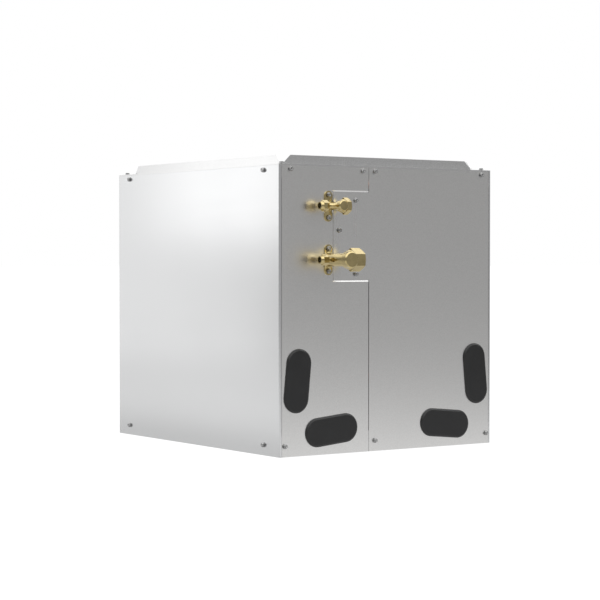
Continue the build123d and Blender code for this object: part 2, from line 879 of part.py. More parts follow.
with BuildPart() as front_baffle:
    baffle(fin_front, 1)
keep(front_baffle, "front_baffle")

with BuildPart() as rear_baffle:
    baffle(fin_back, -1)
keep(rear_baffle, "rear_baffle")

# Suction header: a sloping tube before each slab, a cross tube and the stubs from the circuits
outlet_levels = (0, circuit_levels)
inlet_levels = (circuit_levels - 1, tubes_per_row - 1)
outer_row = row_pitch / 2
header_low = tube_height(0) - header_radius
header_high_right = tube_height(circuit_levels) + header_radius
header_high_left = (suction_z - foot_z - outer_row * lean_sin) / lean_cos
with BuildPart() as suction_header:
    for side, header_high in ((-1, header_high_left), (1, header_high_right)):
        rod(
            slab_point(side, header_low, outer_row, header_y),
            slab_point(side, header_high, outer_row, header_y),
            header_radius,
        )
        for level in outlet_levels:
            rod(
                slab_point(side, tube_height(level), outer_row, tube_front),
                slab_point(side, tube_height(level), outer_row, header_y),
                tube_radius,
            )
    cross_along = (header_cross_z - foot_z - outer_row * lean_sin) / lean_cos
    rod(
        slab_point(-1, cross_along, outer_row, header_y),
        slab_point(1, cross_along, outer_row, header_y),
        header_radius,
    )
    elbow = slab_point(-1, header_high_left, outer_row, header_y)
    with Locations(elbow):
        Sphere(header_radius)
    rod(elbow, (header_branch_x, header_y, suction_z), header_radius)
keep(suction_header, "suction_header")

# Suction line from the header to its valve
with BuildPart() as suction_line:
    with BuildLine() as suction_path:
        FilletPolyline(
            (header_branch_x, header_y, suction_z),
            (valve_x, header_y, suction_z),
            (valve_x, -shank_inner_end, suction_z),
            radius=suction_bend,
        )
    with BuildSketch(Plane(origin=(header_branch_x, header_y, suction_z), z_dir=(-1, 0, 0))):
        Circle(header_radius)
    sweep()
keep(suction_line, "suction_line")

# Liquid line from its valve up and over to the distributor
with BuildPart() as liquid_line:
    with BuildLine() as liquid_path:
        FilletPolyline(
            (valve_x, -shank_inner_end, liquid_z),
            (valve_x, liquid_line_y, liquid_z),
            (valve_x, liquid_line_y, liquid_riser_z),
            (0, liquid_line_y, liquid_riser_z),
            (0, liquid_line_y, distributor_top),
            radius=[liquid_bend, liquid_bend, liquid_drop_bend],
        )
    with BuildSketch(Plane(origin=(valve_x, -shank_inner_end, liquid_z), z_dir=(0, 1, 0))):
        Circle(tube_radius)
    sweep()
keep(liquid_line, "liquid_line")


def turned(origin, direction, profile, mode=Mode.ADD):
    """A turned shape about a level axis: the profile gives distance along it and radius."""
    plane = Plane(origin=origin, x_dir=direction, z_dir=Vector(*direction).cross(Vector(0, 0, 1)))
    with BuildSketch(plane) as outline:
        with BuildLine():
            Polyline((profile[0][0], 0), *profile, (profile[-1][0], 0), close=True)
        make_face()
    revolve(outline.sketch, axis=Axis(origin, direction), mode=mode)


# Distributor: a small brass funnel that splits the liquid into the feeder tubes
with BuildPart() as distributor:
    with BuildSketch(Plane(origin=(0, liquid_line_y, 0), x_dir=(1, 0, 0), z_dir=(0, -1, 0))):
        with BuildLine():
            Polyline(
                (0, distributor_top),
                (distributor_neck_radius, distributor_top),
                (distributor_neck_radius, distributor_top - distributor_neck),
                (distributor_skirt_radius, distributor_top - distributor_neck - distributor_cone),
                (distributor_skirt_radius, distributor_bottom),
                (0, distributor_bottom),
                close=True,
            )
        make_face()
    revolve(axis=Axis((0, liquid_line_y, 0), (0, 0, 1)))
keep(distributor, "distributor")

# Feeder tubes: one thin tube to the inlet of each circuit
with BuildPart() as feeder_tubes:
    for side in (-1, 1):
        for level in inlet_levels:
            inlet = slab_point(side, tube_height(level), outer_row, tube_front)
            top_inlet = level == inlet_levels[-1]
            start_y = liquid_line_y - feeder_spread if top_inlet else liquid_line_y + feeder_spread
            start = (side * feeder_spread, start_y, distributor_bottom)
            drop = (side * feeder_spread, start_y, distributor_bottom - feeder_drop)
            last = (inlet[0], feeder_y, inlet[2])
            if top_inlet:
                stops = (start, drop, last, inlet)
            else:
                bend_high = (side * feeder_x, feeder_y, distributor_bottom - feeder_fall)
                bend_low = (side * feeder_x, feeder_y, inlet[2])
                stops = (start, drop, bend_high, bend_low, last, inlet)
            with BuildLine():
                FilletPolyline(*stops, radius=feeder_bend)
            with BuildSketch(Plane(origin=start, z_dir=(0, 0, -1))):
                Circle(feeder_radius)
            sweep()
keep(feeder_tubes, "feeder_tubes")

# Line valves: a flanged body on the panel, a port branch to the left and a line branch to the right
outwards = (0, -1, 0)
to_left = (-1, 0, 0)
to_right = (1, 0, 0)


def valve_point(z, out):
    """A point on a valve axis, a distance out from the panel face."""
    return (valve_x, -half_depth - out, z)


def line_thread_end(start, length, wall):
    """Where a branch thread stops inside its nut, short of the seal."""
    return start + length - wall - nut_seal_thickness - 2 * thread_gap


def valve_flange(z):
    """The strap flange that holds a valve on the panel."""
    with BuildSketch(front_face) as outline:
        with Locations((valve_x, z)):
            SlotOverall(valve_flange_height, valve_flange_width, rotation=90)
            with GridLocations(1, valve_screw_spacing, 1, 2):
                Circle(screw_hole_radius, mode=Mode.SUBTRACT)
    extrude(outline.sketch, amount=valve_flange_thickness)


def valve_port(z):
    """The service branch, threaded for its nut."""
    port_root = valve_point(z, port_out)
    port_end = line_thread_end(port_nut_start, port_nut_length + port_nose_length, port_nut_wall)
    turned(
        port_root,
        to_left,
        [
            (0, port_neck_radius),
            (port_nut_start - thread_gap, port_neck_radius),
            (port_nut_start - thread_gap, port_thread_radius),
            (port_end, port_thread_radius),
        ],
    )
    turned(port_root, to_left, [(0, port_bore_radius), (port_end, port_bore_radius)], Mode.SUBTRACT)


suction_thread_end = line_thread_end(suction_nut_start, suction_nut_length, suction_nut_wall)
liquid_thread_end = line_thread_end(liquid_nut_start, liquid_nut_length, liquid_nut_wall)

with BuildPart() as suction_valve_body:
    valve_flange(suction_z)
    turned(
        valve_point(suction_z, 0),
        outwards,
        [
            (shank_inner_end - half_depth, suction_shank_radius),
            (0, suction_shank_radius),
            (0, suction_body_radius),
            (suction_body_end, suction_body_radius),
            (suction_body_end, suction_stem_radius),
            (suction_body_end + suction_stem_length, suction_stem_radius),
        ],
    )
    turned(
        valve_point(suction_z, suction_branch_out),
        to_right,
        [
            (0, suction_branch_root),
            (suction_nut_start - thread_gap, suction_collar_radius),
            (suction_nut_start - thread_gap, suction_thread_radius),
            (suction_thread_end, suction_thread_radius),
        ],
    )
    turned(
        valve_point(suction_z, suction_branch_out),
        to_right,
        [(0, suction_bore_radius), (suction_thread_end, suction_bore_radius)],
        Mode.SUBTRACT,
    )
    turned(
        valve_point(suction_z, 0),
        outwards,
        [(shank_inner_end - half_depth, suction_shank_bore), (suction_branch_out, suction_shank_bore)],
        Mode.SUBTRACT,
    )
    valve_port(suction_z)
keep(suction_valve_body, "suction_valve_body")

with BuildPart() as liquid_valve_body:
    valve_flange(liquid_z)
    turned(
        valve_point(liquid_z, 0),
        outwards,
        [
            (shank_inner_end - half_depth, liquid_shank_radius),
            (0, liquid_shank_radius),
            (liquid_body_end, liquid_body_radius),
            (liquid_body_end, liquid_stem_radius),
            (liquid_body_end + liquid_stem_length, liquid_stem_radius),
        ],
    )
    turned(
        valve_point(liquid_z, liquid_branch_out),
        to_right,
        [
            (0, liquid_branch_root),
            (liquid_nut_start - thread_gap, liquid_collar_radius),
            (liquid_nut_start - thread_gap, liquid_thread_radius),
            (liquid_thread_end, liquid_thread_radius),
        ],
    )
    turned(
        valve_point(liquid_z, liquid_branch_out),
        to_right,
        [(0, liquid_bore_radius), (liquid_thread_end, liquid_bore_radius)],
        Mode.SUBTRACT,
    )
    turned(
        valve_point(liquid_z, 0),
        outwards,
        [(shank_inner_end - half_depth, liquid_shank_bore), (liquid_branch_out, liquid_shank_bore)],
        Mode.SUBTRACT,
    )
    valve_port(liquid_z)
keep(liquid_valve_body, "liquid_valve_body")


def hex_bar(origin, direction, flats, length):
    """A hexagonal bar with one corner up."""
    with BuildSketch(Plane(origin=origin, x_dir=(0, 0, 1), z_dir=direction)) as outline:
        RegularPolygon(flats / 2, 6, major_radius=False)
    extrude(outline.sketch, amount=length)


def line_nut(z, out, start, length, flats, thread_radius, wall, tube_hole):
    """A flare nut on the line branch of a valve."""
    root = (valve_x + start, -half_depth - out, z)
    corner = flats / 2 / cos(radians(30))
    bore = thread_radius + thread_gap
    hex_bar(root, to_right, flats, length)
    turned(
        root,
        to_right,
        [(0, corner), (length - nut_bevel, corner), (length, flats / 2 - nut_bevel / 2)],
        Mode.INTERSECT,
    )
    turned(
        root,
        to_right,
        [(0, bore), (length - wall, bore), (length - wall, tube_hole), (length, tube_hole)],
        Mode.SUBTRACT,
    )


def line_seal(z, out, end, thread_radius):
    """The shipping bonnet that closes a branch under its nut."""
    turned(
        (valve_x + end + thread_gap, -half_depth - out, z),
        to_right,
        [(0, thread_radius), (nut_seal_thickness, thread_radius)],
    )


with BuildPart() as suction_line_nut:
    line_nut(
        suction_z,
        suction_branch_out,
        suction_nut_start,
        suction_nut_length,
        suction_nut_flats,
        suction_thread_radius,
        suction_nut_wall,
        suction_tube_hole,
    )
keep(suction_line_nut, "suction_line_nut")

with BuildPart() as liquid_line_nut:
    line_nut(
        liquid_z,
        liquid_branch_out,
        liquid_nut_start,
        liquid_nut_length,
        liquid_nut_flats,
        liquid_thread_radius,
        liquid_nut_wall,
        liquid_tube_hole,
    )
keep(liquid_line_nut, "liquid_line_nut")

with BuildPart() as suction_line_seal:
    line_seal(suction_z, suction_branch_out, suction_thread_end, suction_thread_radius)
keep(suction_line_seal, "suction_line_seal")

with BuildPart() as liquid_line_seal:
    line_seal(liquid_z, liquid_branch_out, liquid_thread_end, liquid_thread_radius)
keep(liquid_line_seal, "liquid_line_seal")


def port_nut(z):
    """The nut with a tapered nose on a service branch."""
    root = (valve_x - port_nut_start, -half_depth - port_out, z)
    corner = port_nut_flats / 2 / cos(radians(30))
    total = port_nut_length + port_nose_length
    bore = port_thread_radius + thread_gap
    hex_bar(root, to_left, port_nut_flats, port_nut_length)
    turned(
        root,
        to_left,
        [
            (0, corner),
            (port_nut_length - nut_bevel / 2, corner),
            (port_nut_length, port_nut_flats / 2),
        ],
        Mode.INTERSECT,
    )
    turned(
        root,
        to_left,
        [(port_nut_length / 2, port_nose_root), (port_nut_length, port_nose_root), (total, port_nose_radius)],
    )
    turned(
        root,
        to_left,
        [
            (0, bore),
            (total - port_nut_wall, bore),
            (total - port_nut_wall, port_mouth_radius),
            (total, port_mouth_radius),
        ],
        Mode.SUBTRACT,
    )


def port_seal(z):
    """The disc that closes a service branch under its nut."""
    start = port_nut_start + port_nut_length + port_nose_length - port_nut_wall - thread_gap
    turned(
        (valve_x - start + nut_seal_thickness, -half_depth - port_out, z),
        to_left,
        [(0, port_thread_radius), (nut_seal_thickness, port_thread_radius)],
    )


with BuildPart() as suction_port_nut:
    port_nut(suction_z)
keep(suction_port_nut, "suction_port_nut")

with BuildPart() as liquid_port_nut:
    port_nut(liquid_z)
keep(liquid_port_nut, "liquid_port_nut")

with BuildPart() as suction_port_seal:
    port_seal(suction_z)
keep(suction_port_seal, "suction_port_seal")

with BuildPart() as liquid_port_seal:
    port_seal(liquid_z)
keep(liquid_port_seal, "liquid_port_seal")


def stem_cap(z, body_end, stem_radius, cap_radius, cap_end):
    """A round cap over a valve stem."""
    root = valve_point(z, body_end + cap_seal_thickness + 2 * thread_gap)
    length = cap_end - (body_end + cap_seal_thickness + 2 * thread_gap)
    turned(
        root,
        outwards,
        [(0, cap_radius), (length - cap_chamfer, cap_radius), (length, cap_radius - cap_chamfer)],
    )
    turned(
        root,
        outwards,
        [(0, stem_radius + thread_gap), (length - cap_wall, stem_radius + thread_gap)],
        Mode.SUBTRACT,
    )


def stem_cap_seal(z, body_end, stem_radius, body_radius):
    """The ring between a valve body and its stem cap."""
    root = valve_point(z, body_end + thread_gap)
    turned(root, outwards, [(0, body_radius), (cap_seal_thickness, body_radius)])
    turned(
        root,
        outwards,
        [(0, stem_radius + thread_gap), (cap_seal_thickness, stem_radius + thread_gap)],
        Mode.SUBTRACT,
    )


with BuildPart() as suction_stem_cap:
    stem_cap(suction_z, suction_body_end, suction_stem_radius, suction_cap_radius, suction_cap_end)
keep(suction_stem_cap, "suction_stem_cap")

with BuildPart() as liquid_stem_cap:
    stem_cap(liquid_z, liquid_body_end, liquid_stem_radius, liquid_cap_radius, liquid_cap_end)
keep(liquid_stem_cap, "liquid_stem_cap")

with BuildPart() as suction_stem_cap_seal:
    stem_cap_seal(suction_z, suction_body_end, suction_stem_radius, suction_body_radius)
keep(suction_stem_cap_seal, "suction_stem_cap_seal")

with BuildPart() as liquid_stem_cap_seal:
    stem_cap_seal(liquid_z, liquid_body_end, liquid_stem_radius, liquid_body_radius)
keep(liquid_stem_cap_seal, "liquid_stem_cap_seal")

# Screws, one group for each panel or frame that they hold
with BuildPart() as wall_screws:
    hex_washer_screws(left_wall_screws, left_face)
    hex_washer_screws(right_wall_screws, right_face)
keep(wall_screws, "wall_screws")

with BuildPart() as back_panel_screws:
    hex_washer_screws(back_screws, back_face)
keep(back_panel_screws, "back_panel_screws")

with BuildPart() as piping_panel_screws:
    hex_washer_screws(piping_screws, front_face)
keep(piping_panel_screws, "piping_panel_screws")

with BuildPart() as access_panel_screws:
    hex_washer_screws(access_screws + tab_screws, front_face)
keep(access_panel_screws, "access_panel_screws")

with BuildPart() as top_frame_screws:
    hex_washer_screws(top_screws, top_face)
keep(top_frame_screws, "top_frame_screws")

with BuildPart() as valve_flange_screws:
    hex_washer_screws(
        valve_screws, front_face.offset(valve_flange_thickness), screw_length + valve_flange_thickness
    )
keep(valve_flange_screws, "valve_flange_screws")
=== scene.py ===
import bpy, bmesh, math
from mathutils import Vector, Matrix


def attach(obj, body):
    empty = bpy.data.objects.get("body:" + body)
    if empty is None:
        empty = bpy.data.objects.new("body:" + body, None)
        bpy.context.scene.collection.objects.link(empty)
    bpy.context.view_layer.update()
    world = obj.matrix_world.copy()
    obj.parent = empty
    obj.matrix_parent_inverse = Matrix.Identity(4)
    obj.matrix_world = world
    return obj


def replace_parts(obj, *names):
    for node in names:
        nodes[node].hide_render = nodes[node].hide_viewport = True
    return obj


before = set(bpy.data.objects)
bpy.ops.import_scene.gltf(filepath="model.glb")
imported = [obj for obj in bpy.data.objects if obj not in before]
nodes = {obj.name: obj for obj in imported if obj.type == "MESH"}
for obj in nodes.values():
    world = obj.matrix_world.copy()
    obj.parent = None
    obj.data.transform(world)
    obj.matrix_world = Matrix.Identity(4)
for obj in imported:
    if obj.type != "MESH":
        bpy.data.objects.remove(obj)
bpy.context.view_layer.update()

# ---------------------------------------------------------------- camera, fitted to the cabinet's edges in the photo
CAMERA_PLACE = (-1.906494, -2.780308, 0.322189)
CAMERA_YAW, CAMERA_PITCH = 0.601324, -0.02203
FOCAL_PIXELS, PICTURE_PIXELS, SENSOR_MM = 1873.17, 600, 36.0
CLIP_NEAR, CLIP_FAR = 0.05, 200.0

cam_data = bpy.data.cameras.new("camera")
cam = bpy.data.objects.new("camera", cam_data)
bpy.context.scene.collection.objects.link(cam)
bpy.context.scene.camera = cam
cam_data.sensor_width = SENSOR_MM
cam_data.sensor_fit = "HORIZONTAL"
cam_data.lens = FOCAL_PIXELS / PICTURE_PIXELS * SENSOR_MM
cam_data.clip_start = CLIP_NEAR
cam_data.clip_end = CLIP_FAR
forward = Vector((
    math.sin(CAMERA_YAW) * math.cos(CAMERA_PITCH),
    math.cos(CAMERA_YAW) * math.cos(CAMERA_PITCH),
    math.sin(CAMERA_PITCH),
))
cam.location = CAMERA_PLACE
cam.rotation_euler = forward.to_track_quat("-Z", "Y").to_euler()


# ---------------------------------------------------------------- materials
class Graph:
    """A small helper to build one material's shader nodes."""

    def __init__(self, name):
        self.mat = bpy.data.materials.new(name)
        self.mat.use_nodes = True
        self.tree = self.mat.node_tree
        self.tree.nodes.clear()
        self.out = self.tree.nodes.new("ShaderNodeOutputMaterial")
        self.bsdf = self.tree.nodes.new("ShaderNodeBsdfPrincipled")
        self.tree.links.new(self.bsdf.outputs[0], self.out.inputs[0])
        self.coord = self.tree.nodes.new("ShaderNodeTexCoord").outputs["Object"]

    def link(self, source, socket):
        self.tree.links.new(source, socket)

    def noise(self, scale, detail, rough, stretch=None):
        source = self.coord
        if stretch:
            mapping = self.tree.nodes.new("ShaderNodeMapping")
            mapping.inputs["Scale"].default_value = stretch
            self.link(source, mapping.inputs["Vector"])
            source = mapping.outputs[0]
        noise = self.tree.nodes.new("ShaderNodeTexNoise")
        noise.inputs["Scale"].default_value = scale
        noise.inputs["Detail"].default_value = detail
        noise.inputs["Roughness"].default_value = rough
        self.link(source, noise.inputs["Vector"])
        return noise.outputs["Fac"]

    def ramp(self, fac, stops):
        """A colour ramp through (position, colour) stops."""
        ramp = self.tree.nodes.new("ShaderNodeValToRGB")
        elements = ramp.color_ramp.elements
        elements[0].position, elements[0].color = stops[0][0], (*stops[0][1], 1)
        elements[1].position, elements[1].color = stops[-1][0], (*stops[-1][1], 1)
        for position, colour in stops[1:-1]:
            elements.new(position).color = (*colour, 1)
        self.link(fac, ramp.inputs[0])
        return ramp.outputs[0]

    def remap(self, fac, low, high, start=0.3, end=0.7):
        """Turn start..end, the usual span of noise, into low..high."""
        remap = self.tree.nodes.new("ShaderNodeMapRange")
        remap.inputs["From Min"].default_value = start
        remap.inputs["From Max"].default_value = end
        remap.inputs["To Min"].default_value = low
        remap.inputs["To Max"].default_value = high
        self.link(fac, remap.inputs["Value"])
        return remap.outputs[0]

    def mix(self, fac, first, second):
        """Mix two colours, of which the first may be a socket."""
        mix = self.tree.nodes.new("ShaderNodeMix")
        mix.data_type = "RGBA"
        self.link(fac, mix.inputs[0])
        for socket, value in ((6, first), (7, second)):
            if isinstance(value, tuple):
                mix.inputs[socket].default_value = (*value, 1)
            else:
                self.link(value, mix.inputs[socket])
        return mix.outputs[2]

    def add(self, first, second):
        add = self.tree.nodes.new("ShaderNodeMath")
        add.operation = "ADD"
        self.link(first, add.inputs[0])
        self.link(second, add.inputs[1])
        return add.outputs[0]

    def bump(self, height, strength, distance):
        bump = self.tree.nodes.new("ShaderNodeBump")
        bump.inputs["Strength"].default_value = strength
        bump.inputs["Distance"].default_value = distance
        self.link(height, bump.inputs["Height"])
        return bump.outputs[0]

    def put(self, socket, value):
        """Set a value or a link on the shader."""
        if isinstance(value, float):
            self.bsdf.inputs[socket].default_value = value
        else:
            self.link(value, self.bsdf.inputs[socket])


def tint(tone, factor, lift=0.0):
    """A tone made lighter or darker, at most white."""
    return tuple(min(1.0, c * factor + lift) for c in tone)


def sheet_metal(name, tone, rough, speckle, grain=(1, 1, 1)):
    """Satin galvanised sheet: fine speckle, faint rolling streaks and soft cloudy patches."""
    g = Graph(name)
    fine = g.noise(620, 2.0, 0.6)
    streak = g.noise(60, 2.0, 0.5, stretch=grain)
    cloud = g.noise(3.0, 2.0, 0.5)
    speckled = g.ramp(fine, [(0.30, tint(tone, 1 - speckle)), (0.5, tone), (0.70, tint(tone, 1 + speckle))])
    g.put("Base Color", g.mix(g.remap(cloud, 0.0, 0.25, 0.35, 0.65), speckled, tint(tone, 0.95)))
    g.put("Metallic", 1.0)
    g.put("Roughness", g.add(g.remap(cloud, rough - 0.01, rough + 0.02), g.remap(streak, -0.006, 0.006)))
    g.put("Normal", g.bump(fine, 0.03, 0.00002))
    return g.mat


def machined_brass(name, tone, rough):
    """Turned brass with fine tool marks and a slight patina."""
    g = Graph(name)
    turn = g.noise(700, 3.0, 0.6)
    patina = g.noise(45, 4.0, 0.6)
    g.put("Base Color", g.ramp(patina, [(0.3, tint(tone, 0.80)), (0.55, tone), (0.8, tint(tone, 1.06))]))
    g.put("Metallic", 1.0)
    g.put("Roughness", g.add(g.remap(patina, rough - 0.03, rough + 0.07), g.remap(turn, -0.02, 0.03)))
    g.put("Normal", g.bump(turn, 0.06, 0.00008))
    return g.mat


def copper(name):
    """Drawn copper tube, stained by brazing."""
    g = Graph(name)
    stain = g.noise(24, 5.0, 0.6)
    draw = g.noise(300, 2.0, 0.5, stretch=(1, 0.12, 1))
    stained, bare, polished = (0.36, 0.165, 0.095), (0.66, 0.31, 0.19), (0.80, 0.43, 0.29)
    g.put("Base Color", g.ramp(stain, [(0.30, stained), (0.48, bare), (0.75, polished)]))
    g.put("Metallic", 1.0)
    g.put("Roughness", g.add(g.remap(stain, 0.42, 0.22), g.remap(draw, -0.03, 0.03)))
    g.put("Normal", g.bump(draw, 0.08, 0.0002))
    return g.mat


def moulded(name, tone, rough, grain_scale, grain):
    """Moulded plastic with a fine grain and a little dust."""
    g = Graph(name)
    fine = g.noise(grain_scale, 2.0, 0.5)
    dust = g.noise(30, 5.0, 0.6)
    g.put("Base Color", g.mix(g.remap(dust, 0.0, 0.35, 0.45, 0.8), tone, tint(tone, 1.5, 0.006)))
    g.put("Roughness", g.add(g.remap(dust, rough - 0.04, rough + 0.08), g.remap(fine, -0.03, 0.03)))
    g.put("Normal", g.bump(fine, grain, 0.0002))
    return g.mat


def felt(name):
    """Faced insulation board: dark matt facing with tangled fibres."""
    g = Graph(name)
    fibre = g.noise(420, 6.0, 0.7, stretch=(1, 1, 0.35))
    blotch = g.noise(14, 4.0, 0.6)
    fibres = g.ramp(fibre, [(0.35, (0.018, 0.018, 0.02)), (0.7, (0.075, 0.075, 0.08))])
    g.put("Base Color", g.mix(g.remap(blotch, 0.0, 0.6), fibres, (0.035, 0.035, 0.038)))
    g.put("Roughness", 0.88)
    g.put("Normal", g.bump(fibre, 0.5, 0.0006))
    return g.mat


def rubber(name):
    g = Graph(name)
    fine = g.noise(1100, 2.0, 0.5)
    g.put("Base Color", g.ramp(fine, [(0.35, (0.012, 0.012, 0.012)), (0.7, (0.028, 0.028, 0.028))]))
    g.put("Roughness", g.remap(fine, 0.5, 0.66))
    g.put("Normal", g.bump(fine, 0.15, 0.0002))
    return g.mat


def fin_metal(name):
    """Thin bare aluminium."""
    g = Graph(name)
    dust = g.noise(35, 4.0, 0.6)
    fine = g.noise(900, 2.0, 0.5)
    g.put("Base Color", g.ramp(dust, [(0.3, (0.58, 0.59, 0.60)), (0.7, (0.80, 0.81, 0.82))]))
    g.put("Metallic", 1.0)
    g.put("Roughness", g.remap(dust, 0.42, 0.28))
    g.put("Normal", g.bump(fine, 0.08, 0.0001))
    return g.mat


mats = {
    "wall_sheet": sheet_metal("wall_sheet", (0.89, 0.895, 0.90), 0.20, 0.03, (1, 0.06, 1)),
    "front_sheet": sheet_metal("front_sheet", (0.89, 0.885, 0.875), 0.285, 0.05, (1, 1, 0.06)),
    "frame_sheet": sheet_metal("frame_sheet", (0.89, 0.89, 0.89), 0.21, 0.04, (0.06, 1, 1)),
    "coil_sheet": sheet_metal("coil_sheet", (0.60, 0.605, 0.61), 0.38, 0.07, (1, 1, 0.1)),
    "screw_steel": sheet_metal("screw_steel", (0.43, 0.43, 0.43), 0.26, 0.04),
    "brass": machined_brass("brass", (0.65, 0.53, 0.265), 0.10),
    "copper": copper("copper"),
    "plug": moulded("plug", (0.010, 0.010, 0.0105), 0.38, 900, 0.12),
    "pan": moulded("pan", (0.030, 0.031, 0.034), 0.45, 500, 0.2),
    "liner": felt("liner"),
    "rubber": rubber("rubber"),
    "fin": fin_metal("fin"),
}

use = {
    "wall_sheet": ["left_wall", "right_wall"],
    "front_sheet": ["piping_panel", "access_panel", "back_panel"],
    "frame_sheet": ["top_frame", "base_frame"],
    "coil_sheet": [
        "left_front_tube_sheet", "left_rear_tube_sheet", "right_front_tube_sheet", "right_rear_tube_sheet",
        "apex_cap", "front_baffle", "rear_baffle", "left_pan_rail", "right_pan_rail",
    ],
    "screw_steel": [
        "wall_screws", "back_panel_screws", "piping_panel_screws", "access_panel_screws", "top_frame_screws",
        "valve_flange_screws",
    ],
    "brass": [
        "distributor", "suction_valve_body", "liquid_valve_body", "suction_line_nut", "liquid_line_nut",
        "suction_port_nut", "liquid_port_nut", "suction_stem_cap", "liquid_stem_cap",
    ],
    "copper": [
        "left_hairpins", "right_hairpins", "left_return_bends", "right_return_bends", "suction_header",
        "suction_line", "liquid_line", "feeder_tubes",
    ],
    "plug": ["left_side_plug", "left_bottom_plug", "right_bottom_plug", "right_side_plug"],
    "pan": ["bottom_drain_pan", "side_drain_pan"],
    "liner": ["left_liner", "right_liner", "back_liner", "access_panel_liner"],
    "rubber": [
        "suction_line_seal", "liquid_line_seal", "suction_port_seal", "liquid_port_seal",
        "suction_stem_cap_seal", "liquid_stem_cap_seal",
    ],
    "fin": ["left_fin_pack", "right_fin_pack"],
}
for key, names in use.items():
    for name in names:
        ob = nodes[name]
        if not ob.data.materials:
            ob.data.materials.append(mats[key])
        for slot in ob.material_slots:
            slot.material = mats[key]


# ---------------------------------------------------------------- shape helpers
def add_object(name, mesh):
    ob = bpy.data.objects.new(name, mesh)
    bpy.context.scene.collection.objects.link(ob)
    return ob


def bmesh_object(name, bm):
    """Turn a finished bmesh into an object, with every face looking outwards."""
    bmesh.ops.recalc_face_normals(bm, faces=bm.faces)
    mesh = bpy.data.meshes.new(name)
    bm.to_mesh(mesh)
    bm.free()
    return add_object(name, mesh)


def lathe(bm, profile, steps, spin=0.0):
    """Turn (radius, height) points about +Z; a radius of nought is a single point."""
    rings = []
    for radius, height in profile:
        if radius == 0.0:
            rings.append([bm.verts.new((0, 0, height))])
            continue
        ring = []
        for k in range(steps):
            a = spin + 2 * math.pi * k / steps
            ring.append(bm.verts.new((radius * math.cos(a), radius * math.sin(a), height)))
        rings.append(ring)
    for low, high in zip(rings, rings[1:]):
        for k in range(steps):
            j = (k + 1) % steps
            if len(low) == 1:
                bm.faces.new((low[0], high[j], high[k]))
            elif len(high) == 1:
                bm.faces.new((low[k], low[j], high[0]))
            else:
                bm.faces.new((low[k], low[j], high[j], high[k]))


# ---------------------------------------------------------------- fins: thin plates in place of each solid pack
# the slab's lean, foot and size are the part's own
LEAN = math.radians(16)
FOOT_X, FOOT_Z = 0.1293, 0.031
SLAB_LENGTH, SLAB_DEPTH = 0.381, 0.0439
FIN_FRONT, FIN_BACK, FIN_MARGIN = -0.170, 0.220, 0.001
FIN_PITCH, FIN_THICK = 0.0018, 0.00022
TUBE_LEVELS, FIN_WAVE = 12, 0.0007


def fins(name, side):
    """One slab's fins. The edges of a fin have a shallow wave, one for each tube level."""
    steps = 2 * TUBE_LEVELS
    edge = []
    for k in range(steps + 1):
        edge.append((SLAB_LENGTH * k / steps, SLAB_DEPTH / 2 - (FIN_WAVE if k % 2 else 0.0)))
    outline = edge + [(u, -v) for u, v in reversed(edge)]
    corners = len(outline)
    room = FIN_BACK - FIN_FRONT - 2 * FIN_MARGIN
    count = int(room / FIN_PITCH)
    first = FIN_FRONT + FIN_MARGIN + (room - count * FIN_PITCH) / 2
    bm = bmesh.new()
    for i in range(count + 1):
        y = first + i * FIN_PITCH
        front, back = [], []
        for u, v in outline:
            x = side * (FOOT_X - u * math.sin(LEAN) + v * math.cos(LEAN))
            z = FOOT_Z + u * math.cos(LEAN) + v * math.sin(LEAN)
            front.append(bm.verts.new((x, y, z)))
            back.append(bm.verts.new((x, y + FIN_THICK, z)))
        for k in range(steps):
            across, across_next = corners - 1 - k, corners - 2 - k
            bm.faces.new((front[k], front[k + 1], front[across_next], front[across]))
            bm.faces.new((back[across], back[across_next], back[k + 1], back[k]))
        for k in range(corners):
            j = (k + 1) % corners
            bm.faces.new((front[k], back[k], back[j], front[j]))
    ob = bmesh_object(name, bm)
    ob.data.materials.append(mats["fin"])
    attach(ob, "cabinet")
    return ob


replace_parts(fins("left_fins", -1), "left_fin_pack")
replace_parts(fins("right_fins", 1), "right_fin_pack")

# ---------------------------------------------------------------- screws: hex washer heads over threaded shanks
WASHER_R, WASHER_T, WASHER_EDGE = 0.0042, 0.0008, 0.0003
HEX_R, HEX_H, HEX_DIMPLE = 0.00367, 0.0031, 0.0006
HEAD_TURN = 0.7
SHANK_R, SHANK_L, THREAD_ROOT, THREAD_TURNS = 0.0019, 0.0088, 0.0013, 6
POINT_R, POINT_L, THREAD_END = 0.0006, 0.001, 0.0004
ROUND_STEPS, HEX_STEPS = 24, 6
CAD_HEAD = 0.0038    # from the outer face of a CAD head to its seat
FLANGE_CUT = 0.0042  # what is cut off a valve's flange


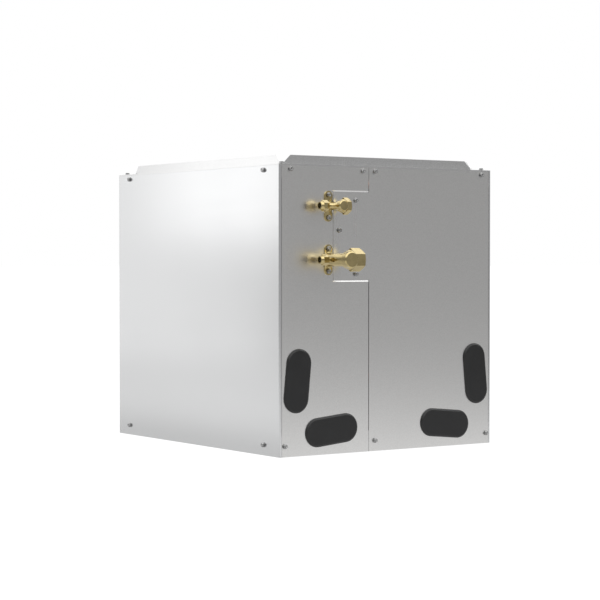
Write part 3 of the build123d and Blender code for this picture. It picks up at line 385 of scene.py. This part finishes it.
def screw_mesh():
    """One screw along +Z, with its washer's underside at nought."""
    profile = [(0.0, -SHANK_L), (POINT_R, -SHANK_L + POINT_R)]
    pitch = (SHANK_L - POINT_L - THREAD_END) / THREAD_TURNS
    for k in range(THREAD_TURNS):
        z = -SHANK_L + POINT_L + k * pitch
        grow = min(1.0, 0.45 + k * 0.3)
        profile += [(THREAD_ROOT * grow, z), (SHANK_R * grow, z + pitch * 0.5)]
    profile += [
        (THREAD_ROOT, -0.0002),
        (WASHER_R - WASHER_EDGE, 0.0),
        (WASHER_R, WASHER_EDGE),
        (WASHER_R - 0.0001, 0.0006),
        (WASHER_R - 0.0004, WASHER_T),
        (0.0, WASHER_T + 0.0001),
    ]
    head = [
        (HEX_R * 0.93, WASHER_T - 0.0002),
        (HEX_R, WASHER_T + 0.0002),
        (HEX_R, HEX_H - 0.0005),
        (HEX_R * 0.86, HEX_H),
        (HEX_R * 0.55, HEX_H - 0.0001),
        (HEX_R * 0.36, HEX_H - HEX_DIMPLE),
        (0.0, HEX_H - HEX_DIMPLE - 0.0001),
    ]
    bm = bmesh.new()
    lathe(bm, profile, ROUND_STEPS)
    lathe(bm, head, HEX_STEPS, math.pi / HEX_STEPS)
    bmesh.ops.recalc_face_normals(bm, faces=bm.faces)
    return bm


def islands(ob):
    """The lowest and highest corners of each separate solid in a node."""
    bm = bmesh.new()
    bm.from_mesh(ob.data)
    bmesh.ops.remove_doubles(bm, verts=bm.verts, dist=1e-6)
    left = set(bm.verts)
    found = []
    while left:
        stack = [left.pop()]
        group = []
        while stack:
            v = stack.pop()
            group.append(v.co.copy())
            for e in v.link_edges:
                w = e.other_vert(v)
                if w in left:
                    left.remove(w)
                    stack.append(w)
        low = Vector([min(c[i] for c in group) for i in range(3)])
        high = Vector([max(c[i] for c in group) for i in range(3)])
        found.append((low, high))
    bm.free()
    return sorted(found, key=lambda box: tuple(round(c, 5) for c in box[0]))


def hex_screws(name, node, seat_of):
    """Screws in place of a node's plain ones, with each seat worked out from the solid's own corners."""
    whole = bmesh.new()
    for index, (low, high) in enumerate(islands(nodes[node])):
        seat, way = seat_of(low, high)
        one = screw_mesh()
        turn = Matrix.Rotation(HEAD_TURN * index, 4, "Z")
        place = Matrix.Translation(seat) @ way.to_track_quat("Z", "Y").to_matrix().to_4x4() @ turn
        bmesh.ops.transform(one, matrix=place, verts=one.verts)
        mesh = bpy.data.meshes.new("one_screw")
        one.to_mesh(mesh)
        one.free()
        whole.from_mesh(mesh)
        bpy.data.meshes.remove(mesh)
    mesh = bpy.data.meshes.new(name)
    whole.to_mesh(mesh)
    whole.free()
    ob = add_object(name, mesh)
    ob.data.materials.append(mats["screw_steel"])
    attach(ob, "cabinet")
    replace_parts(ob, node)


def along(axis, sign):
    """A seat on the face that the head stands on, for screws that point along one axis."""
    def seat_of(low, high):
        seat = (low + high) / 2
        outer = high[axis] if sign > 0 else low[axis]
        seat[axis] = outer - sign * CAD_HEAD
        way = Vector((0, 0, 0))
        way[axis] = sign
        return seat, way
    return seat_of


def wall_seat(low, high):
    """The seat on the left or right wall, whichever the screw is on."""
    return along(0, 1 if low.x > 0 else -1)(low, high)


def flange_seat(low, high):
    """The seat on the thinned flange of a valve."""
    seat, way = along(1, -1)(low, high)
    seat.y += FLANGE_CUT
    return seat, way


hex_screws("wall_hex_screws", "wall_screws", wall_seat)
hex_screws("back_panel_hex_screws", "back_panel_screws", along(1, 1))
hex_screws("piping_panel_hex_screws", "piping_panel_screws", along(1, -1))
hex_screws("access_panel_hex_screws", "access_panel_screws", along(1, -1))
hex_screws("valve_flange_hex_screws", "valve_flange_screws", flange_seat)
hex_screws("top_frame_hex_screws", "top_frame_screws", along(2, 1))

# ---------------------------------------------------------------- piping panel: its notch and its edges
# the places of the notch and the seam are the part's own; the rest is what is cut from the panel
PANEL_FACE = -0.2667
NOTCH_LEFT, NOTCH_LOW, NOTCH_HIGH = -0.1153, 0.2862, 0.4330
SEAM, SEAM_GAP = -0.0426, 0.0003
PANEL_LOW, PANEL_HIGH = -0.01, 0.50
SHOULDER, SHOULDER_DEPTH, NOTCH_OPEN = 0.0019, 0.00085, 0.0001
PAST_FACE, PAST_SEAM = 0.0004, 0.001
EDGE_PAST, EDGE_FRONT, EDGE_BACK = 0.0005, 0.0002, 0.0012
SEAM_OPEN, SEAM_SLOPE = 0.00015, 0.0006
SIDE_OPEN, SIDE_SLOPE = 0.0004, 0.0002
WELD, WELD_CUT = 1e-6, 2e-6
SHARP_CASTING, SHARP_CAP, SHARP_BEVEL = (math.radians(a) for a in (28, 25, 32))


def notch_cutter():
    """A wedge-sided block: wide in front of the panel, and as wide as the notch at the shoulder's depth."""
    reach = SHOULDER * (SHOULDER_DEPTH + PAST_FACE) / SHOULDER_DEPTH
    right = SEAM + PAST_SEAM
    corners = []
    for y, grow in ((PANEL_FACE - PAST_FACE, reach + NOTCH_OPEN), (PANEL_FACE + SHOULDER_DEPTH, NOTCH_OPEN)):
        left, low, high = NOTCH_LEFT - grow, NOTCH_LOW - grow, NOTCH_HIGH + grow
        corners += [(left, y, low), (right, y, low), (right, y, high), (left, y, high)]
    bm = bmesh.new()
    verts = [bm.verts.new(corner) for corner in corners]
    for face in ((0, 1, 2, 3), (7, 6, 5, 4), (0, 4, 5, 1), (1, 5, 6, 2), (2, 6, 7, 3), (3, 7, 4, 0)):
        bm.faces.new([verts[k] for k in face])
    return bmesh_object("notch_cutter", bm)


def edge_cutter(edge, bottom, top, open_by, slope):
    """A prism that moves the panel's upright edge back by open_by and slopes it at the front."""
    left, right = edge - open_by, edge + EDGE_PAST
    outline = [
        (left - slope, PANEL_FACE - EDGE_FRONT),
        (right, PANEL_FACE - EDGE_FRONT),
        (right, PANEL_FACE + EDGE_BACK),
        (left, PANEL_FACE + EDGE_BACK),
        (left, PANEL_FACE + slope),
    ]
    bm = bmesh.new()
    low = [bm.verts.new((x, y, bottom)) for x, y in outline]
    high = [bm.verts.new((x, y, top)) for x, y in outline]
    bm.faces.new(low)
    bm.faces.new(high[::-1])
    for k in range(len(outline)):
        j = (k + 1) % len(outline)
        bm.faces.new((low[k], low[j], high[j], high[k]))
    return bmesh_object("edge_cutter", bm)


def cut_copy(name, node, cutters, key, flat=False):
    """A copy of a node with some shapes cut away, in place of the node."""
    mesh = nodes[node].data.copy()
    bm = bmesh.new()
    bm.from_mesh(mesh)
    bmesh.ops.remove_doubles(bm, verts=bm.verts, dist=WELD)
    bm.to_mesh(mesh)
    bm.free()
    ob = add_object(name, mesh)
    for cutter in cutters:
        cut = ob.modifiers.new("cut", "BOOLEAN")
        cut.operation = "DIFFERENCE"
        cut.solver = "EXACT"
        cut.object = cutter
    bpy.context.view_layer.update()
    shaped = bpy.data.meshes.new_from_object(ob.evaluated_get(bpy.context.evaluated_depsgraph_get()))
    ob.modifiers.clear()
    for cutter in cutters:
        bpy.data.objects.remove(cutter)
    bm = bmesh.new()
    bm.from_mesh(shaped)
    bmesh.ops.remove_doubles(bm, verts=bm.verts, dist=WELD_CUT)
    bmesh.ops.dissolve_degenerate(bm, edges=bm.edges, dist=WELD)
    bm.to_mesh(shaped)
    bm.free()
    ob.data = shaped
    for poly in shaped.polygons:
        poly.use_smooth = not flat
    if not flat:
        shaped.set_sharp_from_angle(angle=SHARP_CASTING)
        weigh = ob.modifiers.new("weigh", "WEIGHTED_NORMAL")
        weigh.keep_sharp = True
        weigh.weight = 100
    shaped.materials.clear()
    shaped.materials.append(mats[key])
    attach(ob, "cabinet")
    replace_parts(ob, node)


panel_cutters = [
    notch_cutter(),
    edge_cutter(SEAM - SEAM_GAP, PANEL_LOW, PANEL_HIGH, SEAM_OPEN, SEAM_SLOPE),
    edge_cutter(NOTCH_LEFT, NOTCH_LOW, NOTCH_HIGH, SIDE_OPEN, SIDE_SLOPE),
]
cut_copy("notched_panel", "piping_panel", panel_cutters, "front_sheet", flat=True)

# ---------------------------------------------------------------- valves: thin flanges, and caps with sloping rims
# the valves' places, flange and cap lengths are the part's own
VALVE_X, SUCTION_Z, LIQUID_Z = -0.1262, 0.3204, 0.4084
SUCTION_COLLAR, LIQUID_COLLAR = 0.0116, 0.0069
FLANGE_T = 0.006
RING_HALF_X, RING_HALF_Z, RING_FRONT, RING_STEPS = 0.010, 0.028, 0.0003, 64
CAP_WALL, CAP_STEPS, RIM_EDGE, FACE_EDGE = 0.0026, 72, 0.0004, 0.0002
# from the panel's face to the cap's open end and outer face, then the radii of face, rim and bore
SUCTION_CAP = (0.0556, 0.0680, 0.0117, 0.0134, 0.0079)
LIQUID_CAP = (0.0371, 0.0460, 0.0077, 0.0089, 0.0047)


def ring_cutter(z, radius):
    """A block over a valve's flange with a round hole for the valve's body."""
    rows = []
    for y in (PANEL_FACE - FLANGE_T - RING_FRONT, PANEL_FACE - FLANGE_T + FLANGE_CUT):
        inner, outer = [], []
        for k in range(RING_STEPS):
            a = 2 * math.pi * k / RING_STEPS
            c, s = math.cos(a), math.sin(a)
            reach = max(1.0 / max(abs(c) / RING_HALF_X, abs(s) / RING_HALF_Z), radius * 1.02)
            inner.append((VALVE_X + radius * c, y, z + radius * s))
            outer.append((VALVE_X + reach * c, y, z + reach * s))
        rows += [inner, outer]
    bm = bmesh.new()
    inner_low, outer_low, inner_high, outer_high = ([bm.verts.new(corner) for corner in row] for row in rows)
    for k in range(RING_STEPS):
        j = (k + 1) % RING_STEPS
        bm.faces.new((inner_low[k], inner_low[j], outer_low[j], outer_low[k]))
        bm.faces.new((inner_high[k], outer_high[k], outer_high[j], inner_high[j]))
        bm.faces.new((inner_low[k], inner_high[k], inner_high[j], inner_low[j]))
        bm.faces.new((outer_low[k], outer_low[j], outer_high[j], outer_high[k]))
    return bmesh_object("ring_cutter", bm)


def round_cap(name, node, body, z, sizes):
    """A cup-shaped cap whose edge slopes back to a wider rim."""
    start, end, face, rim, bore = sizes
    length = end - start
    slope = rim - face
    profile = [
        (0.0, length - CAP_WALL),
        (bore, length - CAP_WALL),
        (bore, 0.0),
        (rim - RIM_EDGE, 0.0),
        (rim, RIM_EDGE),
        (rim, length - slope - 0.0003),
        (rim - FACE_EDGE, length - slope),
        (face + FACE_EDGE, length - FACE_EDGE),
        (face - FACE_EDGE, length),
        (face * 0.5, length),
        (0.0, length),
    ]
    bm = bmesh.new()
    lathe(bm, profile, CAP_STEPS)
    way = Vector((0, -1, 0)).to_track_quat("Z", "X").to_matrix().to_4x4()
    place = Matrix.Translation((VALVE_X, PANEL_FACE - start, z)) @ way
    bmesh.ops.transform(bm, matrix=place, verts=bm.verts)
    ob = bmesh_object(name, bm)
    for poly in ob.data.polygons:
        poly.use_smooth = True
    ob.data.set_sharp_from_angle(angle=SHARP_CAP)
    ob.data.materials.append(mats["brass"])
    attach(ob, body)
    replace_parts(ob, node)


suction_cutters = [ring_cutter(SUCTION_Z, SUCTION_COLLAR)]
liquid_cutters = [ring_cutter(LIQUID_Z, LIQUID_COLLAR)]
cut_copy("suction_valve_casting", "suction_valve_body", suction_cutters, "brass")
cut_copy("liquid_valve_casting", "liquid_valve_body", liquid_cutters, "brass")
round_cap("suction_round_cap", "suction_stem_cap", "suction_stem_cap_body", SUCTION_Z, SUCTION_CAP)
round_cap("liquid_round_cap", "liquid_stem_cap", "liquid_stem_cap_body", LIQUID_Z, LIQUID_CAP)


# ---------------------------------------------------------------- a fine rounding on the edges of some CAD pieces
def soften(name, width):
    ob = nodes[name]
    weld = ob.modifiers.new("weld", "WELD")
    weld.merge_threshold = WELD
    bevel = ob.modifiers.new("edges", "BEVEL")
    bevel.width = width
    bevel.segments = 2
    bevel.limit_method = "ANGLE"
    bevel.angle_limit = SHARP_BEVEL
    bevel.use_clamp_overlap = True
    bevel.harden_normals = False


soften("suction_line_nut", 0.0009)
soften("liquid_line_nut", 0.0006)
soften("suction_port_nut", 0.0004)
soften("liquid_port_nut", 0.0004)
soften("top_frame", 0.0006)

# ---------------------------------------------------------------- floor
FLOOR_CENTRE, FLOOR_HALF = (-0.7, 0.5, -0.0004), 60.0
FLOOR_TONE = 0.80
# a painted pool of light on the floor, seen only in reflections: bright within FLOOR_NEAR, dim past FLOOR_FAR
FLOOR_NEAR, FLOOR_FAR = 0.8, 3.4
FLOOR_BRIGHT, FLOOR_DIM = 0.78, 0.36
# a painted shadow on the floor along the foot of the left wall, seen only in reflections
FOOT_FAR, FOOT_NEAR, FOOT_DARKEST, FOOT_SHADE = -0.66, -0.20, 0.95, 0.76
FLOOR_WHITE, CAMERA_WHITE = 1.13, 0.85

floor_mesh = bpy.data.meshes.new("floor")
floor_mesh.from_pydata(
    [(x * FLOOR_HALF, y * FLOOR_HALF, 0) for x, y in ((-1, -1), (1, -1), (1, 1), (-1, 1))], [], [(0, 1, 2, 3)])
floor = add_object("floor", floor_mesh)
floor.location = FLOOR_CENTRE

paper_mat = bpy.data.materials.new("floor")
paper_mat.use_nodes = True
tree = paper_mat.node_tree
tree.nodes.clear()


def shader(kind, **settings):
    """A new node of the tree in hand, with some of its properties set."""
    node = tree.nodes.new("ShaderNode" + kind)
    for key, value in settings.items():
        setattr(node, key, value)
    return node


def map_range(source, start, end, low, high, **settings):
    node = shader("MapRange", **settings)
    for key, value in (("From Min", start), ("From Max", end), ("To Min", low), ("To Max", high)):
        node.inputs[key].default_value = value
    tree.links.new(source, node.inputs["Value"])
    return node.outputs[0]


def multiply(first, second):
    node = shader("Math", operation="MULTIPLY")
    tree.links.new(first, node.inputs[0])
    if isinstance(second, float):
        node.inputs[1].default_value = second
    else:
        tree.links.new(second, node.inputs[1])
    return node.outputs[0]


def mix_shader(factor, first, second):
    node = shader("MixShader")
    for socket, source in enumerate((factor, first, second)):
        tree.links.new(source, node.inputs[socket])
    return node.outputs[0]


# Glossy rays see the floor as glowing paper, a painted pool of light: bright near the object and greying off further
# out
path = shader("LightPath")
place = shader("TexCoord").outputs["Object"]
distance = shader("VectorMath", operation="LENGTH")
tree.links.new(place, distance.inputs[0])
painted_pool_of_light = map_range(distance.outputs["Value"], FLOOR_NEAR, FLOOR_FAR, FLOOR_BRIGHT, FLOOR_DIM,
                   interpolation_type="SMOOTHSTEP")

# Painted shadow: the paper is darker along the foot of the left wall, seen only in reflections
across = shader("SeparateXYZ")
tree.links.new(place, across.inputs[0])
painted_shadow_strip = map_range(across.outputs["X"], FOOT_FAR - FLOOR_CENTRE[0], FOOT_NEAR - FLOOR_CENTRE[0], 0.0, 1.0)
shade = shader("ValToRGB")
shade.color_ramp.interpolation = "EASE"
for end in shade.color_ramp.elements:
    end.color = (1, 1, 1, 1)
shade.color_ramp.elements.new(FOOT_DARKEST).color = (FOOT_SHADE, FOOT_SHADE, FOOT_SHADE, 1)
tree.links.new(painted_shadow_strip, shade.inputs[0])
# the paper glows with the painted pool of light, darkened by the painted shadow strip
paper = shader("Emission")
tree.links.new(multiply(painted_pool_of_light, shade.outputs[0]), paper.inputs["Strength"])

# The camera sees it mostly white, with the object's shadow kept
diffuse = shader("BsdfDiffuse")
diffuse.inputs[0].default_value = (FLOOR_TONE, FLOOR_TONE, FLOOR_TONE, 1)
white = shader("Emission")
white.inputs["Strength"].default_value = FLOOR_WHITE
surface = mix_shader(path.outputs["Is Glossy Ray"], diffuse.outputs[0], paper.outputs[0])
surface = mix_shader(multiply(path.outputs["Is Camera Ray"], CAMERA_WHITE), surface, white.outputs[0])
tree.links.new(surface, shader("OutputMaterial").inputs[0])
floor.data.materials.append(paper_mat)

# ---------------------------------------------------------------- room: white to the camera, brighter overhead
ROOM_LOW, ROOM_HIGH = 0.31, 1.6
RISE_START, RISE_END = 0.30, 0.62

world = bpy.data.worlds.new("world")
bpy.context.scene.world = world
world.use_nodes = True
tree = world.node_tree
tree.nodes.clear()
height = shader("SeparateXYZ")
tree.links.new(shader("TexCoord").outputs["Generated"], height.inputs[0])
room = shader("Background")
backdrop = shader("Background")
for background in (room, backdrop):
    background.inputs[0].default_value = (1, 1, 1, 1)
rise = map_range(height.outputs["Z"], RISE_START, RISE_END, ROOM_LOW, ROOM_HIGH,
                 interpolation_type="SMOOTHSTEP")
tree.links.new(rise, room.inputs[1])
backdrop.inputs[1].default_value = 1.0
seen = mix_shader(shader("LightPath").outputs["Is Camera Ray"], room.outputs[0], backdrop.outputs[0])
tree.links.new(seen, shader("OutputWorld").inputs[0])

# ---------------------------------------------------------------- lights
# The two side lights stand in one upright plane, where the left wall mirrors them to the camera
SIDE_MIDDLE = Vector((-1.56, 1.73, 0))
SIDE_RIGHT = Vector((0.788, 0.617, 0))
SIDE_FACE = Vector((0.617, -0.788, 0))


def side_light(name, left, right, low, high, radiance, back=0.0):
    """An upright light of a given brightness, placed by its edges in the plane beside the left wall."""
    data = bpy.data.lights.new(name, "AREA")
    data.shape = "RECTANGLE"
    data.size, data.size_y = right - left, high - low
    data.energy = radiance * (right - left) * (high - low) * math.pi
    ob = add_object(name, data)
    ob.location = SIDE_MIDDLE + SIDE_RIGHT * ((left + right) / 2) - SIDE_FACE * back
    ob.location.z = (low + high) / 2
    ob.rotation_euler = SIDE_FACE.to_track_quat("-Z", "Y").to_euler()


side_light("side_box", -1.10, 0.32, 0.38, 1.70, 0.50)
side_light("side_card", -0.04, 1.70, 0.02, 1.80, 0.49, back=0.12)

bpy.context.scene.view_settings.view_transform = "Standard"
